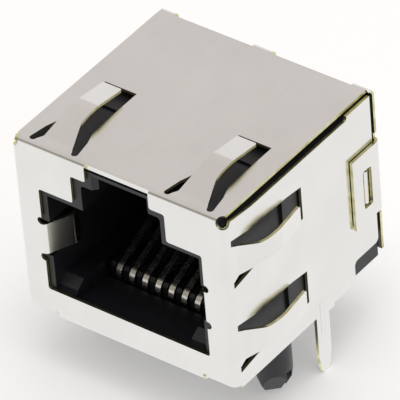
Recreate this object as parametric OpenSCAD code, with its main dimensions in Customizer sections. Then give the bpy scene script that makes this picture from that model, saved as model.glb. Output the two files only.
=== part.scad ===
// Shielded eight-way modular jack for a printed circuit board, right angle,
// latch side up. Millimetres. The origin is on the board surface, midway
// between the two board pegs; the plug opening faces -Y and +Z is up.

/* [Shield body] */
// Thickness of the shield sheet
sheet = 0.2; // [0.15:0.01:0.25]
// Overall width across the outer faces of the side walls
shield_w = 16.3; // [15.9:0.1:18]
// Depth from the front plate to the rear flap
shield_d = 15.5; // [15.2:0.1:17]
// Height of the top plate above the board
shield_h = 13.5; // [13.3:0.1:15]
// Outer radius of the two upright front bends
side_bend_r = 0.54; // [0.4:0.02:0.8]
// Outer radius of the top, bottom and rear bends
cross_bend_r = 0.38; // [0.3:0.02:0.45]
// Height of the lower edges of the side walls above the board
wall_lift = 0.25; // [0.1:0.05:0.35]

/* [Plug opening] */
// Width of the opening in the front plate
opening_w = 12.44; // [12.2:0.02:12.8]
// Height of the lower edge of the opening
opening_z = 2.23; // [2.1:0.02:2.5]
// Height of the wide part of the opening
opening_h = 7.85; // [7.6:0.05:8.1]
// Width of the first latch step
latch_step_w = 7.16; // [6.9:0.02:7.6]
// Height of the first latch step above the wide part
latch_step_h = 2.07; // [1.9:0.01:2.2]
// Width of the latch notch that runs up into the top bend
latch_notch_w = 4.86; // [4.5:0.02:5.2]

/* [Spring fingers] */
// Width of a finger along its parallel part
finger_w = 1.48; // [1.2:0.02:1.7]
// Height of the crest of a finger above the sheet
finger_rise = 0.97; // [0.8:0.01:1.15]
// Distance of the top fingers from the middle
top_finger_x = 5.13; // [4.9:0.01:5.4]
// Height of the lower side finger
low_finger_z = 3.25; // [3.0:0.05:3.6]
// Spacing of the two side fingers
finger_pitch = 6.58; // [6.2:0.02:6.8]

/* [Contacts] */
// Pitch of the contact wires in the plug cavity
wire_pitch = 1.016; // [0.98:0.001:1.04]
// Width of the contact wire
wire_w = 0.4; // [0.3:0.02:0.46]
// Thickness of the contact wire
wire_t = 0.25; // [0.2:0.01:0.3]
// Pitch of the staggered solder tails across the board
tail_pitch = 1.27; // [1.2:0.01:1.3]
// Spacing of the two rows of solder tails
tail_row_gap = 2.54; // [2.4:0.02:2.6]
// Slope of the free leg of a contact wire
wire_slope = 24; // [20:1:26]

/* [Board side] */
// Distance between the two board pegs
peg_span = 12.7; // [11.8:0.05:12.8]
// Diameter of a board peg
peg_d = 2.5; // [2.2:0.05:2.6]
// Length of a board peg below the board surface
peg_len = 3.9; // [3.2:0.1:4.2]
// Distance of the pegs behind the front plate
peg_setback = 5.85; // [5.6:0.05:6.1]
// Distance from the pegs back to the ground tails
ground_tail_offset = 3.05; // [2.8:0.05:3.2]
// Length of a ground tail below the board surface
ground_tail_len = 4.3; // [3.4:0.1:4.6]
// Length of a signal tail below the board surface
signal_tail_len = 3.3; // [2.6:0.1:3.6]

/* [Hidden] */
$fn = 48;

contact_count = 8;
wall_x = shield_w / 2;
fit_gap = 0.1;                   // play between the shield and the plastic
seat_gap = 0.05;                 // play between the two plastic parts
cut = 2;                         // overshoot of a cutting tool past a face

// Shield, measured from the outer face of the front plate
plate_half = wall_x - 0.29;      // half width of the top plate
wall_top = shield_h - 0.6;       // upper edge of the side walls
wall_top_rear = shield_h - 0.32; // raised rear length of that edge
wall_end = shield_d - 0.5;       // rear edge of the side walls
front_bottom = wall_lift + 0.2;  // lower edge of the front plate at its ends
opening_top = opening_z + opening_h;
step_top = opening_top + latch_step_h;
notch_end = 0.19;                // where the latch notch stops in the top bend
foot_half = 5.6;                 // half width of the bottom flap
foot_depth = 2.6;                // reach of the bottom flap under the housing
foot_relief_w = 0.2;
rear_web = 0.73;                 // half width of the middle web of the rear bend
rear_slot_end = wall_x - 1.35;
rear_slot_y = shield_d - 0.46;
flap_half = wall_x;
flap_bottom = 1;

// Ground tabs bent in at the two sides of the opening
ground_tab_z = opening_z + 3.9;
ground_tab_h = 2.3;
ground_tab_lean = 25;
tab_bend_r = 0.33;
tab_bend_x = opening_w / 2 + 0.08;
tab_slot_h = 0.55;
tab_slot_end = opening_w / 2 + 0.33;

// Side tabs of the rear flap, lapped over the side walls
lap_gap = 0.05;
lap_x = wall_x + lap_gap + sheet;
lap_front = shield_d - 2.95;
lap_low = 4.35;
lap_high = 9.65;
lap_window_y = shield_d - 1.97;
lap_window_l = 0.88;
lap_window_z = 5.4;
lap_window_h = 2.9;

// Stiffening ribs of the ground tails
rib_r = 0.36;
rib_depth = 0.12;
rib_low = -1;
rib_top = 1.05;
rib_y = peg_setback + ground_tail_offset;
rib_pocket = 0.2;                // depth of their clearance in the plastic

// Spring fingers and the windows they are cut from
finger_root = 1.02;              // root line behind the front plate
finger_end = 6.6;
finger_neck = 2.5;               // where a finger reaches its own width
finger_root_half = finger_w / 2 + 0.4;
finger_foot_r = 0.3;             // bend at the root
finger_foot_angle = 30;
finger_crown_r = 3.6;            // wide bend under the crest
finger_bend_y = 4.2;             // where the tip turns down again
finger_tip_angle = 7;
window_half = finger_w / 2 + 0.48;
window_neck = 3;                 // where a window starts to widen
window_flare_y = 1.9;
window_flare_half = finger_w / 2 + 0.87;
top_window_end = 7.37;
side_window_end = 7.65;
side_window_half = finger_w / 2 + 0.66;
slot_end_r = 0.23;
slot_end_x = finger_w / 2 + 0.86;
slot_end_y = 0.62;

// Housing and contact carrier
plastic_x = wall_x - sheet - fit_gap;
plastic_front = sheet + seat_gap;
plastic_rear = shield_d - sheet - seat_gap;
plastic_bottom = 0.4;
plastic_top = shield_h - sheet - 0.43;
side_relief = 0.2;               // hollows behind the spring fingers
top_relief = 0.15;
relief_end = 6.05;
cavity_half = opening_w / 2 - 0.42;
rail_top = opening_z + 0.67;
rail_inner = 4.4;
floor_top = opening_z - 0.53;
cavity_top = opening_top - 0.53;
channel_half = latch_step_w / 2 - 0.56;
channel_top = step_top - 0.65;
lip_notch_half = latch_notch_w / 2 - 0.61;
lip_notch_top = plastic_top - 0.25;
lip_depth = 1.9;
channel_roof = plastic_top - 0.45;
channel_end = 10.4;
block_front = 11;                // front face of the rear block
block_half = 6.9;
tongue_front = 3.45;
tongue_half = 4.85;
tongue_top = 1.12;
comb_front = 3.75;
comb_end = 5.6;
comb_top = 2.6;
comb_tooth_w = 0.38;
slot_clear = 0.06;

// Contact wires: path of the under face, measured from the front plate
hairpin_r = 0.55;                // inner radius of the front hairpin bend
hairpin_y = 3.6 + wire_t + hairpin_r;
leg_length = 5.5;
crank_start = 6.6;
crank_end = 10.4;
tail_row_y = peg_setback + 6.35;
tail_bend_r = 0.2;
tail_tip = 0.5;

function wire_x(n) = (n - (contact_count + 1) / 2) * wire_pitch;
function tail_x(n) = (n - (contact_count + 1) / 2) * tail_pitch;
function tail_y(n) = tail_row_y + (n % 2 == 0 ? tail_row_gap : 0);

// ---- helpers -------------------------------------------------------------

// Moves geometry measured from the front plate into the part's own frame
module from_front() {
    translate([0, -peg_setback, 0]) children();
}

// Extrudes a Y-Z outline along +X
module along_x(length) {
    rotate([90, 0, 90]) linear_extrude(length) children();
}

// Extrudes an X-Z outline along +Y
module along_y(length) {
    translate([0, length, 0]) rotate([90, 0, 0]) linear_extrude(length) children();
}

module both_sides() {
    children();
    mirror([1, 0, 0]) children();
}

module both_edges() {
    children();
    mirror([0, 1, 0]) children();
}

// Flat ring sector between two radii, from one angle to another
module ring_sector(r_in, r_out, a_from, a_to) {
    reach = 3 * r_out;
    a_mid = (a_from + a_to) / 2;
    intersection() {
        difference() {
            circle(r_out);
            if (r_in > 0) circle(r_in);
        }
        polygon([[0, 0],
                 reach * [cos(a_from), sin(a_from)],
                 reach * [cos(a_mid), sin(a_mid)],
                 reach * [cos(a_to), sin(a_to)]]);
    }
}

// Side view of a strip folded along its length. Each step is [length, 0] for
// a straight run or [radius of the upper face, angle] for a bend; a positive
// angle turns the strip upwards. The upper face starts along the X axis.
module folded_strip(steps, t, n = 0) {
    if (n < len(steps)) {
        run = steps[n][0];
        turn = steps[n][1];
        if (turn == 0) {
            translate([0, -t]) square([run, t]);
            translate([run, 0]) folded_strip(steps, t, n + 1);
        } else if (turn > 0) {
            translate([0, run]) {
                ring_sector(run, run + t, -90, -90 + turn);
                rotate(turn) translate([0, -run]) folded_strip(steps, t, n + 1);
            }
        } else {
            translate([0, -run]) {
                ring_sector(run - t, run, 90 + turn, 90);
                rotate(turn) translate([0, run]) folded_strip(steps, t, n + 1);
            }
        }
    }
}

module box(x0, x1, y0, y1, z0, z1) {
    translate([x0, y0, z0]) cube([x1 - x0, y1 - y0, z1 - z0]);
}

// Rectangle with one rounding radius, from exact arcs
module round_rect(x0, x1, y0, y1, r) {
    translate([x0 + r, y0]) square([x1 - x0 - 2 * r, y1 - y0]);
    translate([x0, y0 + r]) square([x1 - x0, y1 - y0 - 2 * r]);
    for (x = [x0 + r, x1 - r], y = [y0 + r, y1 - r]) translate([x, y]) circle(r);
}

// ---- shield --------------------------------------------------------------

// Window round a finger: first axis along the finger, second across it.
// It is as wide as mid_half beside the finger and ends at the distance end.
module finger_window(end, mid_half) {
    taper_run = 1.5;
    polygon([[end, -window_half], [end, window_half],
             [end - taper_run, mid_half], [window_neck, mid_half],
             [window_flare_y, window_flare_half],
             [slot_end_y, slot_end_x + slot_end_r],
             [slot_end_y, slot_end_x - slot_end_r],
             [finger_root, finger_root_half], [finger_root, -finger_root_half],
             [slot_end_y, slot_end_r - slot_end_x],
             [slot_end_y, -slot_end_x - slot_end_r],
             [window_flare_y, -window_flare_half],
             [window_neck, -mid_half], [end - taper_run, -mid_half]]);
    for (s = [-1, 1]) translate([slot_end_y, s * slot_end_x]) circle(slot_end_r);
}

// One spring finger, root line at its place behind the front plate, running
// along +X with its outer face on z = 0 and its crest above it
module spring_finger() {
    foot = finger_foot_r * (1 - cos(finger_foot_angle));
    crown = finger_crown_r * (1 - cos(finger_foot_angle));
    ramp = (finger_rise - foot - crown) / sin(finger_foot_angle);
    crest_y = finger_root + (finger_foot_r + finger_crown_r) * sin(finger_foot_angle)
              + ramp * cos(finger_foot_angle);
    tip_bend_r = 0.6;
    tip_run = (finger_end - finger_bend_y - tip_bend_r * sin(finger_tip_angle))
              / cos(finger_tip_angle);
    tip_ease = 0.1;
    intersection() {
        translate([finger_root, finger_root_half, 0]) rotate([90, 0, 0])
            linear_extrude(2 * finger_root_half)
            folded_strip([[finger_foot_r, finger_foot_angle], [ramp, 0],
                          [finger_crown_r, -finger_foot_angle],
                          [finger_bend_y - crest_y, 0],
                          [tip_bend_r, -finger_tip_angle], [tip_run, 0]], sheet);
        translate([0, 0, -cut]) linear_extrude(2 * cut + finger_rise) both_edges()
            polygon([[finger_root, 0], [finger_root, finger_root_half],
                     [finger_neck, finger_w / 2], [finger_end - tip_ease, finger_w / 2],
                     [finger_end, finger_w / 2 - tip_ease], [finger_end, 0]]);
    }
}

module opening_outline() {
    corner_r = 0.18;
    both_sides() {
        difference() {
            translate([0, opening_z]) square([opening_w / 2, opening_h]);
            translate([opening_w / 2, opening_z]) rotate(90) fillet_patch(corner_r);
            translate([opening_w / 2, opening_top]) rotate(180) fillet_patch(corner_r);
        }
        difference() {
            translate([0, opening_top - cut]) square([latch_step_w / 2, latch_step_h + cut]);
            translate([latch_step_w / 2, step_top]) rotate(180) fillet_patch(corner_r);
        }
        translate([0, step_top - cut])
            square([latch_notch_w / 2, shield_h - step_top + 2 * cut]);
        // eased corners where the opening steps in
        translate([latch_step_w / 2, opening_top]) fillet_patch(corner_r);
        translate([latch_notch_w / 2, step_top]) fillet_patch(corner_r);
        // rounded relief slots above and below the ground tab
        for (side = [-1, 1])
            translate([0, ground_tab_z + side * (ground_tab_h + tab_slot_h) / 2]) {
                translate([tab_slot_end - tab_slot_h / 2, 0]) circle(d = tab_slot_h);
                translate([0, -tab_slot_h / 2])
                    square([tab_slot_end - tab_slot_h / 2, tab_slot_h]);
            }
        // the ground tab is bent out of the plate here
        translate([0, ground_tab_z - ground_tab_h / 2]) square([tab_bend_x, ground_tab_h]);
    }
}

module front_plate() {
    half = wall_x - side_bend_r;
    low = cross_bend_r;
    along_y(sheet) difference() {
        union() {
            translate([-half, front_bottom])
                square([2 * half, shield_h - cross_bend_r - front_bottom]);
            translate([-foot_half, low]) square([2 * foot_half, front_bottom - low + 0.1]);
        }
        opening_outline();
        for (s = [-1, 1]) translate([s * (foot_half + foot_relief_w / 2), front_bottom])
            circle(foot_relief_w / 2 + 0.05);
    }
}

module upright_bends() {
    both_sides() translate([wall_x - side_bend_r, side_bend_r, front_bottom])
        linear_extrude(shield_h - cross_bend_r - front_bottom)
        ring_sector(side_bend_r - sheet, side_bend_r, -90, 0);
}

// Outline of a side wall, Y along and Z up
module wall_outline() {
    lower_end = wall_end - 2.55;     // rear end of the part that meets the board
    raised = 1.85;                   // lower edge behind it
    corner_r = 0.5;
    rear_r = 0.35;
    step_y = wall_end - 2.4;
    difference() {
        polygon([[side_bend_r, wall_lift], [lower_end, wall_lift],
                 [lower_end, raised], [wall_end, raised],
                 [wall_end, wall_top_rear], [step_y, wall_top_rear],
                 [step_y, wall_top], [2.8, wall_top],
                 [side_bend_r, shield_h - cross_bend_r]]);
        translate([lower_end - corner_r, wall_lift + corner_r])
            corner_waste(corner_r, -90);
        translate([wall_end - rear_r, raised + rear_r]) corner_waste(rear_r, -90);
        for (z = [low_finger_z, low_finger_z + finger_pitch])
            translate([0, z]) finger_window(side_window_end, side_window_half);
    }
    translate([lower_end, raised]) rotate(-90) fillet_patch(0.35);
    translate([step_y, wall_top]) rotate(90) fillet_patch(0.2);
}

// Material outside a rounded convex corner of the given radius
module corner_waste(r, a_from) {
    rotate(a_from) difference() {
        translate([0, 0]) square([r + 1, r + 1]);
        circle(r);
        translate([r + 1, -1]) square(1);
    }
}

// Small concave fillet, corner at the origin, filling the first quadrant
module fillet_patch(r) {
    difference() {
        square(r);
        translate([r, r]) circle(r);
    }
}

module ground_tail_outline() {
    y = peg_setback + ground_tail_offset;
    half = 0.65;
    tip_half = 0.34;
    taper = 1.5;
    foot_l = 0.6;
    polygon([[y - half, wall_lift + 0.3], [y - half, taper - ground_tail_len],
             [y - tip_half - 0.1, 0.25 - ground_tail_len], [y - tip_half + 0.1, -ground_tail_len],
             [y + tip_half - 0.1, -ground_tail_len], [y + tip_half + 0.1, 0.25 - ground_tail_len],
             [y + half, taper - ground_tail_len], [y + half, 0],
             [y + half + foot_l, 0], [y + half + foot_l, wall_lift + 0.3]]);
}

// Stiffening rib pressed into the root of a ground tail
module tail_rib(x) {
    translate([x, rib_y, rib_low]) cylinder(h = rib_top - rib_low, r = rib_r);
    for (z = [rib_low, rib_top]) translate([x, rib_y, z]) sphere(rib_r);
}

module side_wall() {
    rib_sink = rib_r - rib_depth;
    difference() {
        union() {
            translate([wall_x - sheet, 0, 0]) along_x(sheet) {
                wall_outline();
                ground_tail_outline();
            }
            intersection() {
                tail_rib(wall_x - sheet + rib_sink);
                box(0, wall_x - sheet + 0.01, 0, shield_d, -cut, cut + 1);
            }
        }
        tail_rib(wall_x + rib_sink);
    }
}

module top_plate() {
    translate([0, 0, shield_h - sheet]) linear_extrude(sheet) difference() {
        translate([-plate_half, cross_bend_r])
            square([2 * plate_half, shield_d - 2 * cross_bend_r]);
        for (s = [-1, 1]) translate([s * top_finger_x, 0]) mirror([1, -1])
            finger_window(top_window_end, window_half);
        rear_slots();
    }
}

module rear_slots() {
    for (s = [-1, 1]) translate([s * (rear_web + rear_slot_end) / 2, rear_slot_y + cut / 2])
        square([rear_slot_end - rear_web, cut], center = true);
}

module top_bend() {
    half = wall_x - side_bend_r;
    difference() {
        translate([-half, cross_bend_r, shield_h - cross_bend_r]) along_x(2 * half)
            ring_sector(cross_bend_r - sheet, cross_bend_r, 90, 180);
        box(-latch_notch_w / 2, latch_notch_w / 2, -cut, notch_end, step_top, shield_h + cut);
    }
}

// Bend from the top plate into the rear flap, left standing as three webs;
// the outer two widen from the top plate to the flap
module rear_bend() {
    y = shield_d - cross_bend_r;
    z = shield_h - cross_bend_r;
    intersection() {
        for (span = [[-flap_half, -rear_slot_end], [-rear_web, rear_web],
                     [rear_slot_end, flap_half]])
            translate([span[0], y, z]) along_x(span[1] - span[0])
                ring_sector(cross_bend_r - sheet, cross_bend_r, 0, 90);
        translate([0, y - 1, 0]) along_y(2)
            polygon([[-flap_half, z], [flap_half, z],
                     [plate_half, shield_h], [-plate_half, shield_h]]);
    }
}

module rear_flap() {
    slot_low = shield_h - 0.85;
    notch_h = 0.45;
    notch_x = lap_x - cross_bend_r;
    translate([0, shield_d - sheet, 0]) along_y(sheet) difference() {
        translate([-flap_half, flap_bottom])
            square([2 * flap_half, shield_h - cross_bend_r - flap_bottom]);
        both_sides() {
            translate([rear_web, slot_low]) square([rear_slot_end - rear_web, cut]);
            // the lap tab is bent out of the flap between two notches
            translate([notch_x, lap_low - notch_h])
                square([cut, lap_high - lap_low + 2 * notch_h]);
        }
    }
}

// Tab bent forward from the rear flap, with its latching window
module lap_tab() {
    corner_r = 0.15;
    translate([lap_x - cross_bend_r, shield_d - cross_bend_r, lap_low])
        linear_extrude(lap_high - lap_low)
        ring_sector(cross_bend_r - sheet, cross_bend_r, 0, 90);
    translate([lap_x - sheet, 0, 0]) along_x(sheet) difference() {
        translate([lap_front, lap_low])
            square([shield_d - cross_bend_r - lap_front, lap_high - lap_low]);
        round_rect(lap_window_y, lap_window_y + lap_window_l,
                   lap_window_z, lap_window_z + lap_window_h, corner_r);
    }
}

// Catch pressed out of the side wall into the window of the lap tab
module wall_catch() {
    half_l = 0.2;
    play = 0.22;
    y = lap_window_y + lap_window_l / 2;
    translate([wall_x, y, lap_window_z + play]) linear_extrude(lap_window_h - 2 * play)
        difference() {
            circle(half_l);
            translate([-cut, -cut]) square([cut, 2 * cut]);
        }
}

module bottom_flap() {
    translate([-foot_half, cross_bend_r, cross_bend_r]) along_x(2 * foot_half)
        ring_sector(cross_bend_r - sheet, cross_bend_r, 180, 270);
    box(-foot_half, foot_half, cross_bend_r, foot_depth, 0, sheet);
}

module ground_tab() {
    reach = 1.7;
    curl_r = 0.5;
    curl_angle = ground_tab_lean + 14;
    curl = 0.5;
    translate([tab_bend_x, 0, ground_tab_z - ground_tab_h / 2])
        linear_extrude(ground_tab_h) mirror([1, 0, 0]) mirror([0, 1])
        folded_strip([[tab_bend_r, ground_tab_lean - 90], [reach, 0],
                      [curl_r, -curl_angle], [curl, 0]], sheet);
}

module corner_reliefs() {
    both_sides() translate([wall_x - 0.2, 0.2, shield_h - 0.3]) sphere(0.46);
}

module shield() {
    color([0.86, 0.86, 0.83]) from_front() {
        difference() {
            union() {
                front_plate();
                upright_bends();
                both_sides() side_wall();
                top_bend();
                top_plate();
            }
            corner_reliefs();
        }
        rear_bend();
        rear_flap();
        bottom_flap();
        both_sides() {
            lap_tab();
            wall_catch();
            ground_tab();
            for (z = [low_finger_z, low_finger_z + finger_pitch])
                translate([wall_x, 0, z]) rotate([90, 0, 90]) spring_finger();
            translate([top_finger_x, 0, shield_h]) rotate([0, 0, 90]) spring_finger();
        }
    }
}

// ---- housing -------------------------------------------------------------

// Front view of the plug cavity: two rails, the wide part, the channel of
// the latch and a notch of the given half width and height above it
module cavity_outline(notch_half, notch_top) {
    corner_r = 0.25;
    both_sides() {
        translate([0, rail_top]) square([cavity_half, cavity_top - rail_top]);
        translate([0, floor_top]) square([rail_inner, rail_top - floor_top + 1]);
        difference() {
            translate([0, cavity_top - 1]) square([channel_half, channel_top - cavity_top + 1]);
            translate([channel_half, channel_top]) rotate(180) fillet_patch(corner_r);
        }
        translate([0, channel_top - 1]) square([notch_half, notch_top - channel_top + 1]);
    }
}

module board_peg() {
    shaft_low = 2.5;                 // end of the plain shaft below the board
    r = peg_d / 2;
    tip_r = r - 0.25;
    slot_w = 0.5;
    difference() {
        rotate_extrude() polygon([[0, -peg_len], [tip_r, -peg_len], [r, 0.3 - peg_len],
                                  [r, plastic_bottom], [0, plastic_bottom]]);
        // flats drawn in towards the tip
        for (a = [45:90:315]) rotate(a) translate([r, 0, -shaft_low])
            rotate([0, 22, 0]) translate([0, -cut, -2 * cut]) cube([cut, 2 * cut, 2 * cut]);
        // split that lets the peg close as it enters the board
        translate([-cut, -slot_w / 2, -peg_len - cut])
            cube([2 * cut, slot_w, cut + peg_len - shaft_low]);
    }
}

// Plan of the moulded body, with its front edges eased inside the bends
module body_plan() {
    ease = 0.2;
    both_sides() polygon([[0, plastic_front], [plastic_x - ease, plastic_front],
                          [plastic_x, plastic_front + ease], [plastic_x, plastic_rear],
                          [0, plastic_rear]]);
}

module housing() {
    color([0.13, 0.13, 0.15]) difference() {
        union() {
            from_front() {
                translate([0, 0, plastic_bottom])
                    linear_extrude(plastic_top - plastic_bottom) body_plan();
                // pads that stand on the bottom flap and the board
                box(-foot_half + 0.4, foot_half - 0.4, 0.9, foot_depth - 0.3,
                    sheet, plastic_bottom);
            }
            for (s = [-1, 1]) translate([s * peg_span / 2, 0, 0]) board_peg();
        }
        from_front() {
            // lip and plug cavity
            translate([0, plastic_front - 1, 0]) along_y(lip_depth - plastic_front + 1)
                cavity_outline(lip_notch_half, lip_notch_top);
            translate([0, lip_depth - 0.1, 0]) along_y(channel_end - lip_depth + 0.1)
                cavity_outline(channel_half, channel_roof);
            both_sides() notch_lead_in();
            box(-cavity_half, cavity_half, channel_end - 0.1, block_front + 0.1,
                rail_top, cavity_top);
            // lead-in slopes at the front of the two rails
            both_sides() rail_lead_in();
            // room for the ground tabs
            both_sides() box(cavity_half - 0.1, opening_w / 2 + 0.45, 0, 2.7,
                             ground_tab_z - ground_tab_h / 2 - 0.2,
                             ground_tab_z + ground_tab_h / 2 + 0.2);
            // hollows behind the spring fingers
            both_sides() {
                box(plastic_x - side_relief, plastic_x + 1, 0.9, relief_end,
                    plastic_bottom + 0.9, plastic_top - 1.1);
                box(top_finger_x - 1.6, top_finger_x + 1.6, 0.9, relief_end,
                    plastic_top - top_relief, plastic_top + 1);
            }
            // room for the ribs of the ground tails
            both_sides() box(plastic_x - rib_pocket, plastic_x + 1, rib_y - rib_r - fit_gap,
                             rib_y + rib_r + fit_gap, -cut, rib_top + rib_r + fit_gap);
            // slot for the carrier's tongue and chamber for its rear block
            box(-tongue_half - seat_gap, tongue_half + seat_gap,
                tongue_front - seat_gap, block_front + 0.1, -cut, comb_top + 0.3);
            box(-block_half - seat_gap, block_half + seat_gap, block_front - seat_gap,
                shield_d + 1, -cut, cavity_top + seat_gap);
        }
    }
}

// Step and slope that lead the plug up onto a rail
module rail_lead_in() {
    step_y = 0.6;
    slope_end = 1.3;
    translate([rail_inner - 1, 0, 0]) along_x(cavity_half - rail_inner + 1)
        polygon([[-1, rail_top + 0.2], [-1, rail_top - 0.7], [step_y, rail_top - 0.7],
                 [step_y, rail_top - 0.47], [slope_end, rail_top],
                 [slope_end, rail_top + 0.2]]);
}

// Chamfer at the mouth of the latch notch
module notch_lead_in() {
    flare = 0.33;
    translate([0, 0, channel_top - 1]) linear_extrude(lip_notch_top - channel_top + 1)
        polygon([[0, 0], [lip_notch_half + flare, 0], [lip_notch_half + flare, plastic_front],
                 [lip_notch_half, plastic_front + flare], [0, plastic_front + flare]]);
}

// ---- contact carrier -----------------------------------------------------

module contact_carrier() {
    comb_pitch_half = wire_pitch / 2;
    slot_w = wire_w + 2 * slot_clear;
    color([0.11, 0.11, 0.12]) from_front() difference() {
        union() {
            // tongue under the contact wires
            box(-tongue_half, tongue_half, tongue_front, block_front + 1,
                plastic_bottom, tongue_top);
            // comb that spaces the front bends
            for (n = [0:contact_count])
                box(wire_x(n) + comb_pitch_half - comb_tooth_w / 2,
                    wire_x(n) + comb_pitch_half + comb_tooth_w / 2,
                    comb_front, comb_end, tongue_top, comb_top);
            // rear block that closes the cavity and holds the tails
            box(-block_half, block_half, block_front, plastic_rear,
                plastic_bottom, cavity_top);
        }
        for (n = [1:contact_count]) {
            // guide slot for the free end of the wire
            box(wire_x(n) - slot_w / 2, wire_x(n) + slot_w / 2,
                block_front - 1, block_front + 0.9, tongue_top + 0.6, 7.4);
            // channel for the lower run and the tail
            box(tail_x(n) - slot_w / 2, tail_x(n) + slot_w / 2,
                block_front - 1, tail_y(n) + slot_clear,
                tongue_top, tongue_top + wire_t + slot_clear);
            box(tail_x(n) - slot_w / 2, tail_x(n) + slot_w / 2,
                tail_y(n) - wire_t - tail_bend_r - slot_clear, tail_y(n) + slot_clear,
                -cut, tongue_top + wire_t + slot_clear);
        }
        // eased nose of the comb
        translate([-tongue_half - 1, comb_front, comb_top]) rotate([45, 0, 0])
            translate([0, -0.15, -0.15]) cube([2 * tongue_half + 2, 0.3, 0.3]);
    }
}

// ---- contacts ------------------------------------------------------------

// One contact: free leg, front hairpin, lower run cranked out to the tail
// pitch, and solder tail
module contact(n) {
    hairpin_turn = 180 - wire_slope;
    run_top = tongue_top + wire_t;
    color([0.8, 0.8, 0.78]) from_front() {
        // lower run up to the crank, hairpin and free leg, drawn forwards
        translate([wire_x(n) + wire_w / 2, crank_start, run_top]) rotate([0, 0, -90])
            rotate([90, 0, 0]) linear_extrude(wire_w)
            folded_strip([[crank_start - hairpin_y, 0], [hairpin_r, hairpin_turn],
                          [leg_length, 0], [1, -14], [0.6, 0]], wire_t);
        // crank in the plane of the lower run
        translate([0, 0, tongue_top]) linear_extrude(wire_t)
            polygon([[wire_x(n) - wire_w / 2, crank_start], [wire_x(n) + wire_w / 2, crank_start],
                     [tail_x(n) + wire_w / 2, crank_end], [tail_x(n) - wire_w / 2, crank_end]]);
        // run into the block, bend and tail
        translate([tail_x(n) - wire_w / 2, 0, 0]) along_x(wire_w)
            translate([crank_end, run_top])
            folded_strip([[tail_y(n) - crank_end - tail_bend_r - wire_t, 0],
                          [tail_bend_r + wire_t, -90],
                          [run_top - tail_bend_r - wire_t + signal_tail_len - tail_tip, 0]],
                         wire_t);
        translate([tail_x(n) - wire_w / 2, 0, 0]) along_x(wire_w)
            translate([tail_y(n), tail_tip - signal_tail_len])
            polygon([[-wire_t, 0], [-wire_t * 0.7, -tail_tip],
                     [-wire_t * 0.3, -tail_tip], [0, 0]]);
    }
}

shield();
housing();
contact_carrier();
contact(1);  // contact_1
contact(2);  // contact_2
contact(3);  // contact_3
contact(4);  // contact_4
contact(5);  // contact_5
contact(6);  // contact_6
contact(7);  // contact_7
contact(8);  // contact_8
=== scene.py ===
from math import cos, radians, sin
import bpy
from mathutils import Matrix, Vector


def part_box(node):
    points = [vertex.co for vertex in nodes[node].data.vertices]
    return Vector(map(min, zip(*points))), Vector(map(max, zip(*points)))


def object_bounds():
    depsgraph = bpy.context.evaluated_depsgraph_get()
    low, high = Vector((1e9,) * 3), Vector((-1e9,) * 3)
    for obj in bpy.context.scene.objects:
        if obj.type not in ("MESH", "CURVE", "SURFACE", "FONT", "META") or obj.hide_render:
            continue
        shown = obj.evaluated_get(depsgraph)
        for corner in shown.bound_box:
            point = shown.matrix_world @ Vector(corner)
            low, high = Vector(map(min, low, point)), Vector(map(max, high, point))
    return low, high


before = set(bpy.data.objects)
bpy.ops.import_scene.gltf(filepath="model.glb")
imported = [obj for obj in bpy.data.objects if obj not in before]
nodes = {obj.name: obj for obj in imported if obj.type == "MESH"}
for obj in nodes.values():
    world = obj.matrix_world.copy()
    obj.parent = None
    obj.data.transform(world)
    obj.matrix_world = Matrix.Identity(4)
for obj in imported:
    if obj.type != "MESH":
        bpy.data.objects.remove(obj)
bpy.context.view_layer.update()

MM = 0.001
CONTACTS = 8

# ---- camera ----------------------------------------------------------------
# Long lens, in the place and roll fitted to the photograph's straight edges
AZIMUTH, ELEVATION, ROLL = 39.724, 38.24, -4.986
DISTANCE = 0.4019
LENS = 586.2
SENSOR_WIDTH = 36
LENS_SHIFT = (0.00265, -0.00565)
CLIP = (0.01, 10)
TARGET = Vector((0.0, 1.9, 6.75)) * MM


def make_camera():
    az, el, ro = radians(AZIMUTH), radians(ELEVATION), radians(ROLL)
    back = Vector((sin(az) * cos(el), -cos(az) * cos(el), sin(el)))
    right = Vector((0, 0, 1)).cross(back).normalized()
    up = back.cross(right)
    x_axis = cos(ro) * right + sin(ro) * up
    y_axis = -sin(ro) * right + cos(ro) * up
    data = bpy.data.cameras.new("camera")
    data.sensor_width = SENSOR_WIDTH
    data.lens = LENS
    data.shift_x, data.shift_y = LENS_SHIFT
    data.clip_start, data.clip_end = CLIP
    cam = bpy.data.objects.new("camera", data)
    rot = Matrix((x_axis, y_axis, back)).transposed().to_4x4()
    cam.matrix_world = Matrix.Translation(TARGET + back * DISTANCE) @ rot
    bpy.context.scene.collection.objects.link(cam)
    bpy.context.scene.camera = cam


make_camera()

# ---- material helpers ------------------------------------------------------


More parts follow.
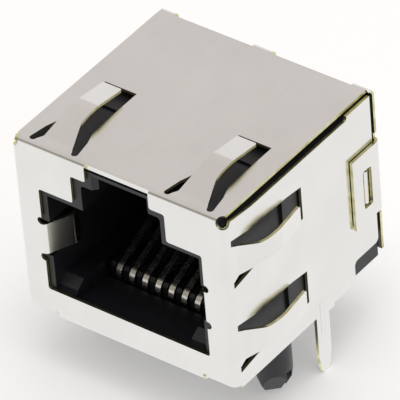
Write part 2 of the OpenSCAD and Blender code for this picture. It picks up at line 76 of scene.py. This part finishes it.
class Tree:
    """Small helper that adds nodes to a material or world tree."""

    def __init__(self, tree):
        self.tree = tree
        tree.nodes.clear()

    def add(self, kind, **settings):
        node = self.tree.nodes.new(kind)
        inputs = settings.pop("inputs", {})
        for key, value in settings.items():
            setattr(node, key, value)
        for key, value in inputs.items():
            if hasattr(value, "is_output"):
                self.tree.links.new(value, node.inputs[key])
            else:
                node.inputs[key].default_value = value
        return node

    def math(self, op, a, b=0.0, c=0.0, clamp=False):
        return self.add("ShaderNodeMath", operation=op, use_clamp=clamp,
                        inputs={0: a, 1: b, 2: c}).outputs[0]

    def mix(self, factor, a, b, blend="MIX"):
        node = self.add("ShaderNodeMix", data_type="RGBA", blend_type=blend)
        for key, value in ((0, factor), (6, a), (7, b)):
            if hasattr(value, "is_output"):
                self.tree.links.new(value, node.inputs[key])
            else:
                node.inputs[key].default_value = value
        return node.outputs[2]

    def ramp(self, value, low, high, to_low=0.0, to_high=1.0):
        return self.add("ShaderNodeMapRange", clamp=True,
                        inputs={0: value, 1: low, 2: high,
                                3: to_low, 4: to_high}).outputs[0]

    def noise(self, coords, scale, detail=3.0, roughness=0.5):
        return self.add("ShaderNodeTexNoise",
                        inputs={"Vector": coords, "Scale": scale, "Detail": detail,
                                "Roughness": roughness}).outputs["Fac"]


def new_material(name):
    mat = bpy.data.materials.new(name)
    mat.use_nodes = True
    return mat, Tree(mat.node_tree)


def put_on(name, mat):
    mesh = nodes[name].data
    mesh.materials.clear()
    mesh.materials.append(mat)


# ---- plated sheet ----------------------------------------------------------
SHEET = 0.2 * MM                                 # thickness of the sheet
FACE_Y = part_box("shield")[0][1]                  # outer face of the front plate
FLAP_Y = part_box("shield")[1][1]                  # outer face of the rear flap
TOP_Z = 13.5 * MM                                # outer face of the top plate
WALL_X = 8.15 * MM                               # outer face of a side wall
SLACK = 0.01 * MM                                # play around the planes of the faces
EDGE_FACING = 0.45          # a cut edge faces less than this across its sheet
TAB_X = (4 * MM, 6.4 * MM)                       # where the ground tabs stand
TAB_Z = (4 * MM, 8 * MM)
TAB_FACING = 0.7            # their upper edges face up by more than this
PLATING = ((0.775, 0.765, 0.74, 1), (0.815, 0.805, 0.78, 1))
ROLL_MARK = (0.70, 0.68, 0.64, 1)
BRASS = ((0.50, 0.47, 0.22, 1), (0.78, 0.75, 0.46, 1))


def cut_edge_mask(t, place, normal):
    """1 on the sheared edges of the sheet, 0 on its faces."""
    x, y, z = (t.math("ABSOLUTE", place[0]), place[1], place[2])
    nx, ny, nz = (t.math("ABSOLUTE", n) for n in normal)

    def above(value, limit):
        return t.math("GREATER_THAN", value, limit)

    def below(value, limit):
        return t.math("LESS_THAN", value, limit)

    def every(*parts):
        total = parts[0]
        for part in parts[1:]:
            total = t.math("MULTIPLY", total, part)
        return total

    inside = every(above(y, FACE_Y + SHEET + SLACK), below(y, FLAP_Y - SHEET - SLACK))
    zones = (
        # top plate, front plate, side walls, rear flap
        every(above(z, TOP_Z - SHEET - SLACK), below(nz, EDGE_FACING),
              above(y, FACE_Y + SHEET)),
        every(below(y, FACE_Y + SHEET + SLACK), below(ny, EDGE_FACING),
              below(z, TOP_Z - SHEET)),
        every(above(x, WALL_X - SHEET - SLACK), below(nx, EDGE_FACING), inside),
        every(above(y, FLAP_Y - SHEET - SLACK), below(ny, EDGE_FACING),
              below(z, TOP_Z - SHEET)),
        # upper edges of the ground tabs
        every(below(x, TAB_X[1]), above(x, TAB_X[0]), above(nz, TAB_FACING),
              below(z, TAB_Z[1]), above(z, TAB_Z[0]), inside),
    )
    total = zones[0]
    for zone in zones[1:]:
        total = t.math("MAXIMUM", total, zone)
    return total


def sheet_material():
    mat, t = new_material("plated_sheet")
    out = t.add("ShaderNodeOutputMaterial")
    source = t.add("ShaderNodeTexCoord")
    coords = source.outputs["Object"]
    place = t.add("ShaderNodeSeparateXYZ", inputs={0: coords}).outputs
    normal = t.add("ShaderNodeSeparateXYZ", inputs={0: source.outputs["Normal"]}).outputs
    edge = cut_edge_mask(t, place, normal)
    grain = t.noise(coords, 5200, 4, 0.65)
    cloud = t.noise(coords, 260, 3, 0.5)
    roll = t.add("ShaderNodeMapping", inputs={"Vector": coords, "Scale": (9, 1, 1)})
    streak = t.noise(roll.outputs[0], 420, 3, 0.6)
    tint = t.mix(t.ramp(cloud, 0.3, 0.7), *PLATING)
    tint = t.mix(t.ramp(streak, 0.4, 0.75, 0, 0.12), tint, ROLL_MARK)
    brass = t.mix(t.ramp(t.noise(coords, 1500, 3, 0.6), 0.35, 0.65), *BRASS)
    tint = t.mix(edge, tint, brass)
    rough = t.math("ADD", t.ramp(grain, 0.3, 0.7, -0.02, 0.03),
                   t.math("MULTIPLY_ADD", edge, 0.12, 0.17))
    bump = t.add("ShaderNodeBump", inputs={"Strength": 0.05, "Distance": 0.00001,
                                           "Height": grain})
    bsdf = t.add("ShaderNodeBsdfPrincipled",
                 inputs={"Base Color": tint, "Metallic": 1.0, "Roughness": rough,
                         "Normal": bump.outputs[0]})
    t.tree.links.new(bsdf.outputs[0], out.inputs[0])
    return mat


# ---- plastic and contact wires ---------------------------------------------
HOUSING_BLACK = (0.009, 0.009, 0.012, 1)
# a darker copy of the housing's black plastic: painted shade for the carrier and its comb
# deep in the cavity
CARRIER_SHADED_BLACK = (0.006, 0.006, 0.008, 1)
CLOUD_GAIN = 1.4                                 # lightest patches of the plastic
WIRE = ((0.66, 0.64, 0.58, 1), (0.84, 0.82, 0.77, 1))


def plastic_material(name, colour):
    mat, t = new_material(name)
    out = t.add("ShaderNodeOutputMaterial")
    coords = t.add("ShaderNodeTexCoord").outputs["Object"]
    fine = t.noise(coords, 9000, 3, 0.6)
    cloud = t.noise(coords, 300, 2, 0.5)
    tint = t.mix(t.ramp(cloud, 0.3, 0.7), colour,
                 [c * CLOUD_GAIN for c in colour[:3]] + [1])
    rough = t.ramp(fine, 0.2, 0.8, 0.34, 0.5)
    bump = t.add("ShaderNodeBump", inputs={"Strength": 0.25, "Distance": 0.00003,
                                           "Height": fine})
    bsdf = t.add("ShaderNodeBsdfPrincipled",
                 inputs={"Base Color": tint, "Roughness": rough,
                         "Normal": bump.outputs[0]})
    t.tree.links.new(bsdf.outputs[0], out.inputs[0])
    return mat


def wire_material():
    mat, t = new_material("contact_wire")
    out = t.add("ShaderNodeOutputMaterial")
    coords = t.add("ShaderNodeTexCoord").outputs["Object"]
    fine = t.noise(coords, 2500, 3, 0.6)
    tint = t.mix(fine, *WIRE)
    rough = t.ramp(fine, 0.3, 0.7, 0.2, 0.32)
    bsdf = t.add("ShaderNodeBsdfPrincipled",
                 inputs={"Base Color": tint, "Metallic": 1.0, "Roughness": rough})
    t.tree.links.new(bsdf.outputs[0], out.inputs[0])
    return mat


put_on("shield", sheet_material())
put_on("housing", plastic_material("housing_plastic", HOUSING_BLACK))
# the carrier takes the darker black, which is painted shade for the inside of the cavity
put_on("contact_carrier", plastic_material("carrier_plastic", CARRIER_SHADED_BLACK))
wire = wire_material()
for n in range(1, CONTACTS + 1):
    put_on("contact_%d" % n, wire)

# ---- floor, world and lamp -------------------------------------------------
FLOOR_SIZE = 3
PAPER = (0.86, 0.86, 0.86, 1)
PAPER_LIFT = 0.25                                # glow that only the camera sees
HORIZON = (1.0, 1.0, 1.0, 1)
CEILING = (0.70, 0.66, 0.645, 1)
FRONT_DARK = (0.34, 0.32, 0.27, 1)               # what the bends mirror from the front


def make_floor():
    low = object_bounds()[0]
    bpy.ops.mesh.primitive_plane_add(size=FLOOR_SIZE, location=(0, 0, low[2]))
    floor = bpy.context.object
    floor.name = "floor"
    mat, t = new_material("floor_paper")
    out = t.add("ShaderNodeOutputMaterial")
    diffuse = t.add("ShaderNodeBsdfDiffuse", inputs={"Color": PAPER})
    path = t.add("ShaderNodeLightPath")
    glow = t.math("MULTIPLY", path.outputs["Is Camera Ray"], PAPER_LIFT)
    lift = t.add("ShaderNodeEmission", inputs={"Strength": glow})
    lit = t.add("ShaderNodeAddShader", inputs={0: diffuse.outputs[0], 1: lift.outputs[0]})
    paper = t.add("ShaderNodeEmission", inputs={"Strength": 1.0})
    surface = t.add("ShaderNodeMixShader",
                    inputs={0: path.outputs["Is Glossy Ray"],
                            1: lit.outputs[0], 2: paper.outputs[0]})
    t.tree.links.new(surface.outputs[0], out.inputs[0])
    floor.data.materials.append(mat)


def make_world():
    world = bpy.data.worlds.new("studio")
    world.use_nodes = True
    bpy.context.scene.world = world
    t = Tree(world.node_tree)
    out = t.add("ShaderNodeOutputWorld")
    coords = t.add("ShaderNodeTexCoord").outputs["Generated"]
    parts = t.add("ShaderNodeSeparateXYZ", inputs={0: coords})
    height = t.ramp(parts.outputs[2], 0.36, 0.62)
    shade = t.mix(height, HORIZON, CEILING)
    front = t.math("MULTIPLY", t.ramp(parts.outputs[1], -0.35, -0.6),
                   t.ramp(parts.outputs[2], 0.1, 0.4))
    shade = t.mix(front, shade, FRONT_DARK)
    back = t.add("ShaderNodeBackground", inputs={"Color": shade, "Strength": 1.0})
    t.tree.links.new(back.outputs[0], out.inputs[0])


def area_lamp(name, place, aim, size, energy):
    data = bpy.data.lights.new(name, "AREA")
    data.shape = "RECTANGLE"
    data.size, data.size_y = size
    data.energy = energy
    lamp = bpy.data.objects.new(name, data)
    lamp.location = place
    direction = Vector(aim) - Vector(place)
    lamp.rotation_euler = direction.to_track_quat("-Z", "Y").to_euler()
    bpy.context.scene.collection.objects.link(lamp)


make_floor()
make_world()
area_lamp("key", place=(0.08, -0.06, 0.55), aim=(0, 0, 0.006), size=(0.3, 0.3), energy=0.7)

bpy.context.scene.view_settings.view_transform = "Standard"
